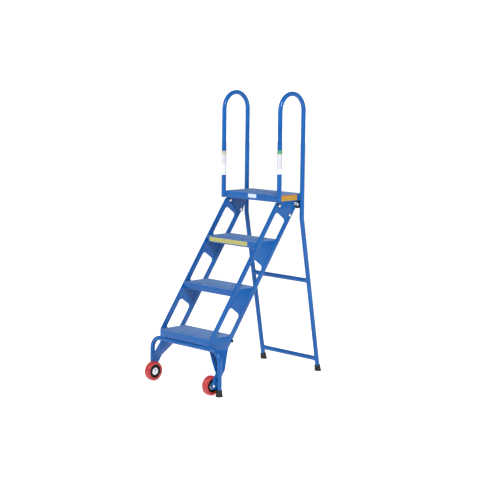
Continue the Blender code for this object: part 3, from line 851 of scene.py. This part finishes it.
def foot_mesh(axis, centre):
    """A ribbed foot round a tube's end, flat on the floor."""
    below, skirt = 0.006, 0.006
    grooves, pitch, first, taper = 4, 0.0056, 0.010, 0.0003
    lip, groove, bevel, ease = 0.0012, 0.0009, 0.0012, 0.0010
    bore = TUBE_R + 0.0002
    profile = [(-below, 0.0), (-below, FOOT_FLOOR_R), (skirt, FOOT_FLOOR_R)]
    for k in range(grooves):
        x = first + pitch * k
        r = FOOT_FLOOR_R - lip - taper * k
        profile += [(x, r), (x + bevel, r - groove)]
        profile += [(x + 0.0026, r - groove), (x + 0.0038, r - 0.0001)]
    profile += [(FOOT_TOP - bevel, FOOT_TOP_R), (FOOT_TOP, FOOT_TOP_R - ease)]
    profile += [(FOOT_TOP, bore), (FOOT_FLOOR, bore), (FOOT_FLOOR, 0.0)]
    mesh = turned_mesh("foot", profile, 64)
    turn = axis.to_track_quat("X", "Z").to_matrix().to_4x4()
    mesh.transform(Matrix.Translation(centre) @ turn)
    for vert in mesh.vertices:
        vert.co.z = max(vert.co.z, 0.0)
    return mesh


def feet():
    upright = Vector((0, 0, 1))
    lean = Vector((0, LOOP_DEPTH - REAR_FOOT_REACH, REAR_BEND_Z)).normalized()
    for side, sign in SIDES:
        rear = Vector((sign * RAIL_X, REAR_FOOT.y, 0))
        front = Vector((sign * BASE_X, BASE_Y, 0))
        for name, body, axis, centre in (
            ("rear_foot_", "rear_frame", lean, rear),
            ("front_foot_", "stair", upright, front),
        ):
            node = name + side
            mesh = foot_mesh(axis, centre)
            piece("ribbed_" + node, mesh, body, [node], [RUBBER])


# Wheels.


def mirrored(right):
    """A closed profile from its right half, which starts at the inner side."""
    left = [(-x, r) for x, r in reversed(right)]
    return right + left + [right[0]]


def tyre_profile():
    """A square tread with round shoulders and a fine moulding line round its middle."""
    half, inner, shoulder, steps = WHEEL_HALF, 0.0362, 0.0075, 8
    drop, line_rise = 0.75 * shoulder, 0.0001
    line_in, line_out = 0.0003, 0.0006
    left = [(-half + 0.0015, inner), (-half + 0.0003, inner + 0.0012), (-half, inner + 0.003)]
    for k in range(steps + 1):
        a = math.pi / 2 * k / steps
        x = -half + shoulder * (1 - math.cos(a))
        left.append((x, WHEEL_R - drop * (1 - math.sin(a)) - 2 * line_rise))
    top = [(-line_out, WHEEL_R - line_rise), (-line_in, WHEEL_R)]
    return left + top + [(-x, r) for x, r in reversed(left + top)] + [left[0]]


def core_profile():
    """A dished core: a thin web between the hub's sleeve and the rim."""
    half, sleeve_r, web = WHEEL_HALF - 0.0015, 0.0203, 0.0045
    right = [
        (half - 0.0015, sleeve_r),
        (half - 0.0015, sleeve_r + 0.002),
        (web, sleeve_r + 0.003),
        (web, CORE_R - 0.0045),
        (half - 0.0006, CORE_R - 0.0025),
        (half, CORE_R - 0.0018),
        (half - 0.0004, CORE_R),
    ]
    return mirrored(right)


def hub_profile():
    """A plated hub: a raised boss round the bore, a shallow ring, and a rolled outer edge."""
    half = WHEEL_HALF
    right = [
        (half, BORE_R),
        (half, 0.0108),
        (half - 0.0006, 0.0115),
        (half - 0.0020, 0.0118),
        (half - 0.0026, 0.0132),
        (half - 0.0022, 0.0150),
        (half - 0.0022, 0.0186),
        (half - 0.0028, 0.0196),
        (half - 0.0040, 0.0200),
    ]
    return mirrored(right)


def rib_mesh():
    """One moulded rib of the wheel's core, standing along Z on both sides of the web."""
    thick, tall, centre_r, ease = 0.0026, 0.0105, 0.0278, 0.0005
    bm = bmesh.new()
    size = (2 * (WHEEL_HALF - 0.0035), thick, tall)
    place = Matrix.Translation((0, 0, centre_r)) @ Matrix.Diagonal((*size, 1))
    bmesh.ops.create_cube(bm, size=1, matrix=place)
    bmesh.ops.bevel(bm, geom=bm.edges[:], offset=ease, segments=2, affect="EDGES")
    return mesh_of("rib", bm)


def wheels():
    ribs = [((0, 0, 0), (k * 2 * math.pi / RIBS, 0, 0)) for k in range(RIBS)]
    for side, sign in SIDES:
        body = "wheel_" + side
        place = Matrix.Translation((sign * WHEEL.x, WHEEL.y, WHEEL.z))
        core = bmesh.new()
        core.from_mesh(turned_mesh("core", core_profile(), 72))
        core.from_mesh(copies("ribs", ribs, rib_mesh(), PLASTIC))
        core_mesh = mesh_of("core_with_ribs", core)
        made = (
            ("wheel_tyre_", turned_mesh("tyre", tyre_profile(), 96), "red_polyurethane", RED),
            ("wheel_core_", smooth(core_mesh), "black_plastic", PLASTIC),
            ("wheel_hub_", turned_mesh("hub", hub_profile(), 64), "zinc_plate", ZINC),
        )
        for name, mesh, slot, material in made:
            mesh.transform(place)
            piece("fine_" + name + side, mesh, body, [name + side], [material])


# Welds.


def line(*points):
    return [Vector(point) for point in points]


def rear_frame_welds():
    """Beads where the crossbars and the platform meet the tubes, and the ears the platform."""
    beside_tube, past_pan = 0.0078, 0.0010
    sunk, proud = 0.0006, 0.0004
    ear_starts, ear_length = (0.012, 0.082), 0.034
    routes = []
    pan_low, pan_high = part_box("platform_pan")
    ear_low, ear_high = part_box("hinge_ear_right")
    z_low, z_high = pan_low.z + 0.004, pan_high.z - 0.003
    rear_y = RAIL_Y + LOOP_DEPTH
    for _, sign in SIDES:
        for name in ("crossbar_upper", "crossbar_lower"):
            centre = middle(name)
            x = sign * (RAIL_X - TUBE_R * 0.93)
            routes.append(ring_points(Vector((x, centre.y, centre.z)), TUBE_R * 1.02))
        x = sign * (pan_high.x + past_pan)
        for y in (RAIL_Y + beside_tube, rear_y - beside_tube, rear_y + beside_tube):
            routes.append(line((x, y, z_low), (x, y, z_high)))
        x, y = sign * (pan_high.x - sunk), pan_low.y - proud
        routes.append(line((x, y, z_low), (x, y, z_high)))
        for ear_x in (ear_low.x, ear_high.x):
            x, z = sign * ear_x, ear_high.z - sunk
            for start in ear_starts:
                y = ear_low.y + start
                routes.append(line((x, y, z), (x, y + ear_length, z)))
    return routes


def stair_welds():
    """Beads where the treads, the base tube and the brackets meet the side plates and legs."""
    tread_starts, tread_length = (0.020, 0.085), 0.030
    tread_in, tread_front = 0.0008, 0.0042
    wrap_start, wrap_turn, wrap_steps = -1.9, 3.7, 24
    skin = 0.0002
    seam = (BASE_Y + 0.012, BASE_Y + 0.122)
    beside_leg, leg_starts, leg_length = 0.0082, (0.052, 0.096), 0.026
    routes = []
    for _, sign in SIDES:
        for node in TREADS:
            bottom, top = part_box(node)
            x, y = sign * (PLATE_IN - tread_in), bottom.y + tread_front
            routes.append(line((x, y, bottom.z + 0.002), (x, y, top.z - 0.003)))
            for start in tread_starts:
                y, z = bottom.y + start, bottom.z + 0.001
                routes.append(line((x, y, z), (x, y + tread_length, z)))
        for x in (PLATE_IN - 2 * skin, PLATE_OUT + 2 * skin):
            centre = Vector((sign * x, BASE_Y, BASE_Z))
            wrap = ring_points(centre, TUBE_R + 3 * skin, wrap_start, wrap_turn, wrap_steps)
            routes.append(wrap)
        gap_z = (low("step_lower").z + high("front_base_tube").z) / 2
        ends = (sign * (PLATE_IN - 0.040), sign * (PLATE_IN - 0.001))
        routes.append(line(*((x, low("step_lower").y + 0.003, gap_z) for x in ends)))
        for x in (PLATE_IN - skin, PLATE_OUT + skin):
            routes.append(line(*((sign * x, y, SEAM_Z) for y in seam)))
        x = sign * (high("wheel_bracket_right").x + 2 * skin)
        for y in (BASE_Y - beside_leg, BASE_Y + beside_leg):
            for z in leg_starts:
                routes.append(line((x, y, z), (x, y, z + leg_length)))
    return routes


def welds():
    """The weld beads of each body, painted over, which cover the gaps between its parts. Their
    coat is lighter than the blue powder coat as a painted highlight.
    """
    sizes = {"Radius": BEAD_R, "Pitch": BEAD_PITCH, "Ripple": BEAD_RIPPLE}
    for body, routes in (("rear_frame", rear_frame_welds()), ("stair", stair_welds())):
        mesh = grown(lines_mesh("weld_routes", routes), BEAD, sizes, WELD_HIGHLIGHT_BLUE)
        piece("welds_" + body, smooth(mesh, math.radians(60)), body, [], None)


# Stickers.


def stickers():
    for node, body, slot, material in (
        ("label_platform_front", "rear_frame", "label_white", FRONT_FILM),
        ("label_platform_side", "rear_frame", "label_orange", ORANGE_FILM),
        ("label_rail_right", "rear_frame", "label_white", RIGHT_RAIL_FILM),
        ("label_rail_left", "rear_frame", "label_white", LEFT_RAIL_FILM),
        ("label_step", "stair", "label_yellow", YELLOW_FILM),
    ):
        eased(node, body, material, 0)


# Studio.

CAMERA_PLACE = (4.93386, -4.93156, 1.66945)
CAMERA_AZIMUTH = 0.775866
CAMERA_ELEVATION = -0.138422
CAMERA_ROLL = 0.011656
CAMERA_LENS = 94.1132
SENSOR_WIDTH = 36
FLOOR_REACH = 24.0
FLOOR_GLOW = 0.68
DOME_GLOW = 1.0
SKY = (0.98, 0.99, 1.0, 1.0)
SKY_STRENGTH = 0.50
LIGHT_AIM = (0, 0, 0.7)
KEY_LIGHT = {"place": (3.4, -2.2, 3.6), "size": 1.6, "power": 262}
FILL_LIGHT = {"place": (-1.6, -3.6, 2.6), "size": 2.0, "power": 92}


def camera():
    az, el, roll = CAMERA_AZIMUTH, CAMERA_ELEVATION, CAMERA_ROLL
    ahead = Vector((-math.sin(az) * math.cos(el), math.cos(az) * math.cos(el), math.sin(el)))
    right = Vector((math.cos(az), math.sin(az), 0))
    up = right.cross(ahead)
    side = right * math.cos(roll) + up * math.sin(roll)
    top = up * math.cos(roll) - right * math.sin(roll)
    place = Matrix((side, top, -ahead)).transposed().to_4x4()
    place.translation = CAMERA_PLACE
    data = bpy.data.cameras.new("camera")
    data.lens = CAMERA_LENS
    data.sensor_width = SENSOR_WIDTH
    obj = linked("camera", data)
    obj.matrix_world = place
    bpy.context.scene.camera = obj


def area_light(name, place, size, power):
    data = bpy.data.lights.new(name, "AREA")
    data.size = size
    data.energy = power
    obj = linked(name, data)
    obj.location = place
    obj.rotation_euler = (Vector(LIGHT_AIM) - Vector(place)).to_track_quat("-Z", "Y").to_euler()


def staged(name, mesh, glow):
    """A pale studio surface with a glow of its own, so that it stays white to the horizon."""
    obj = linked(name, mesh)
    white = (1.0, 1.0, 1.0, 1.0)
    finish = Finish("pale_" + name, Roughness=0.9, Emission_Color=white, Emission_Strength=glow)
    finish.shader.inputs["Base Color"].default_value = (0.8, 0.8, 0.8, 1.0)
    mesh.materials.append(finish.material)
    return obj


def floor_and_dome():
    """A wide floor, and a dome round it that only the camera sees."""
    bm = bmesh.new()
    bmesh.ops.create_grid(bm, x_segments=1, y_segments=1, size=FLOOR_REACH)
    staged("studio_floor", mesh_of("studio_floor", bm), FLOOR_GLOW)
    bm = bmesh.new()
    bmesh.ops.create_uvsphere(bm, u_segments=48, v_segments=24, radius=FLOOR_REACH - 1)
    dome = staged("studio_dome", mesh_of("studio_dome", bm), DOME_GLOW)
    for kind in ("diffuse", "glossy", "transmission", "shadow"):
        setattr(dome, "visible_" + kind, False)


def studio():
    floor_and_dome()
    world = bpy.data.worlds.new("studio")
    bpy.context.scene.world = world
    world.use_nodes = True
    back = world.node_tree.nodes["Background"]
    back.inputs["Color"].default_value = SKY
    back.inputs["Strength"].default_value = SKY_STRENGTH
    area_light("key", **KEY_LIGHT)
    area_light("fill", **FILL_LIGHT)
    bpy.context.scene.view_settings.view_transform = "Standard"


handrail_legs()
crossbars()
base_tube()
pans()
flat_plates()
fasteners()
small_turned_parts()
feet()
wheels()
welds()
stickers()
camera()
studio()
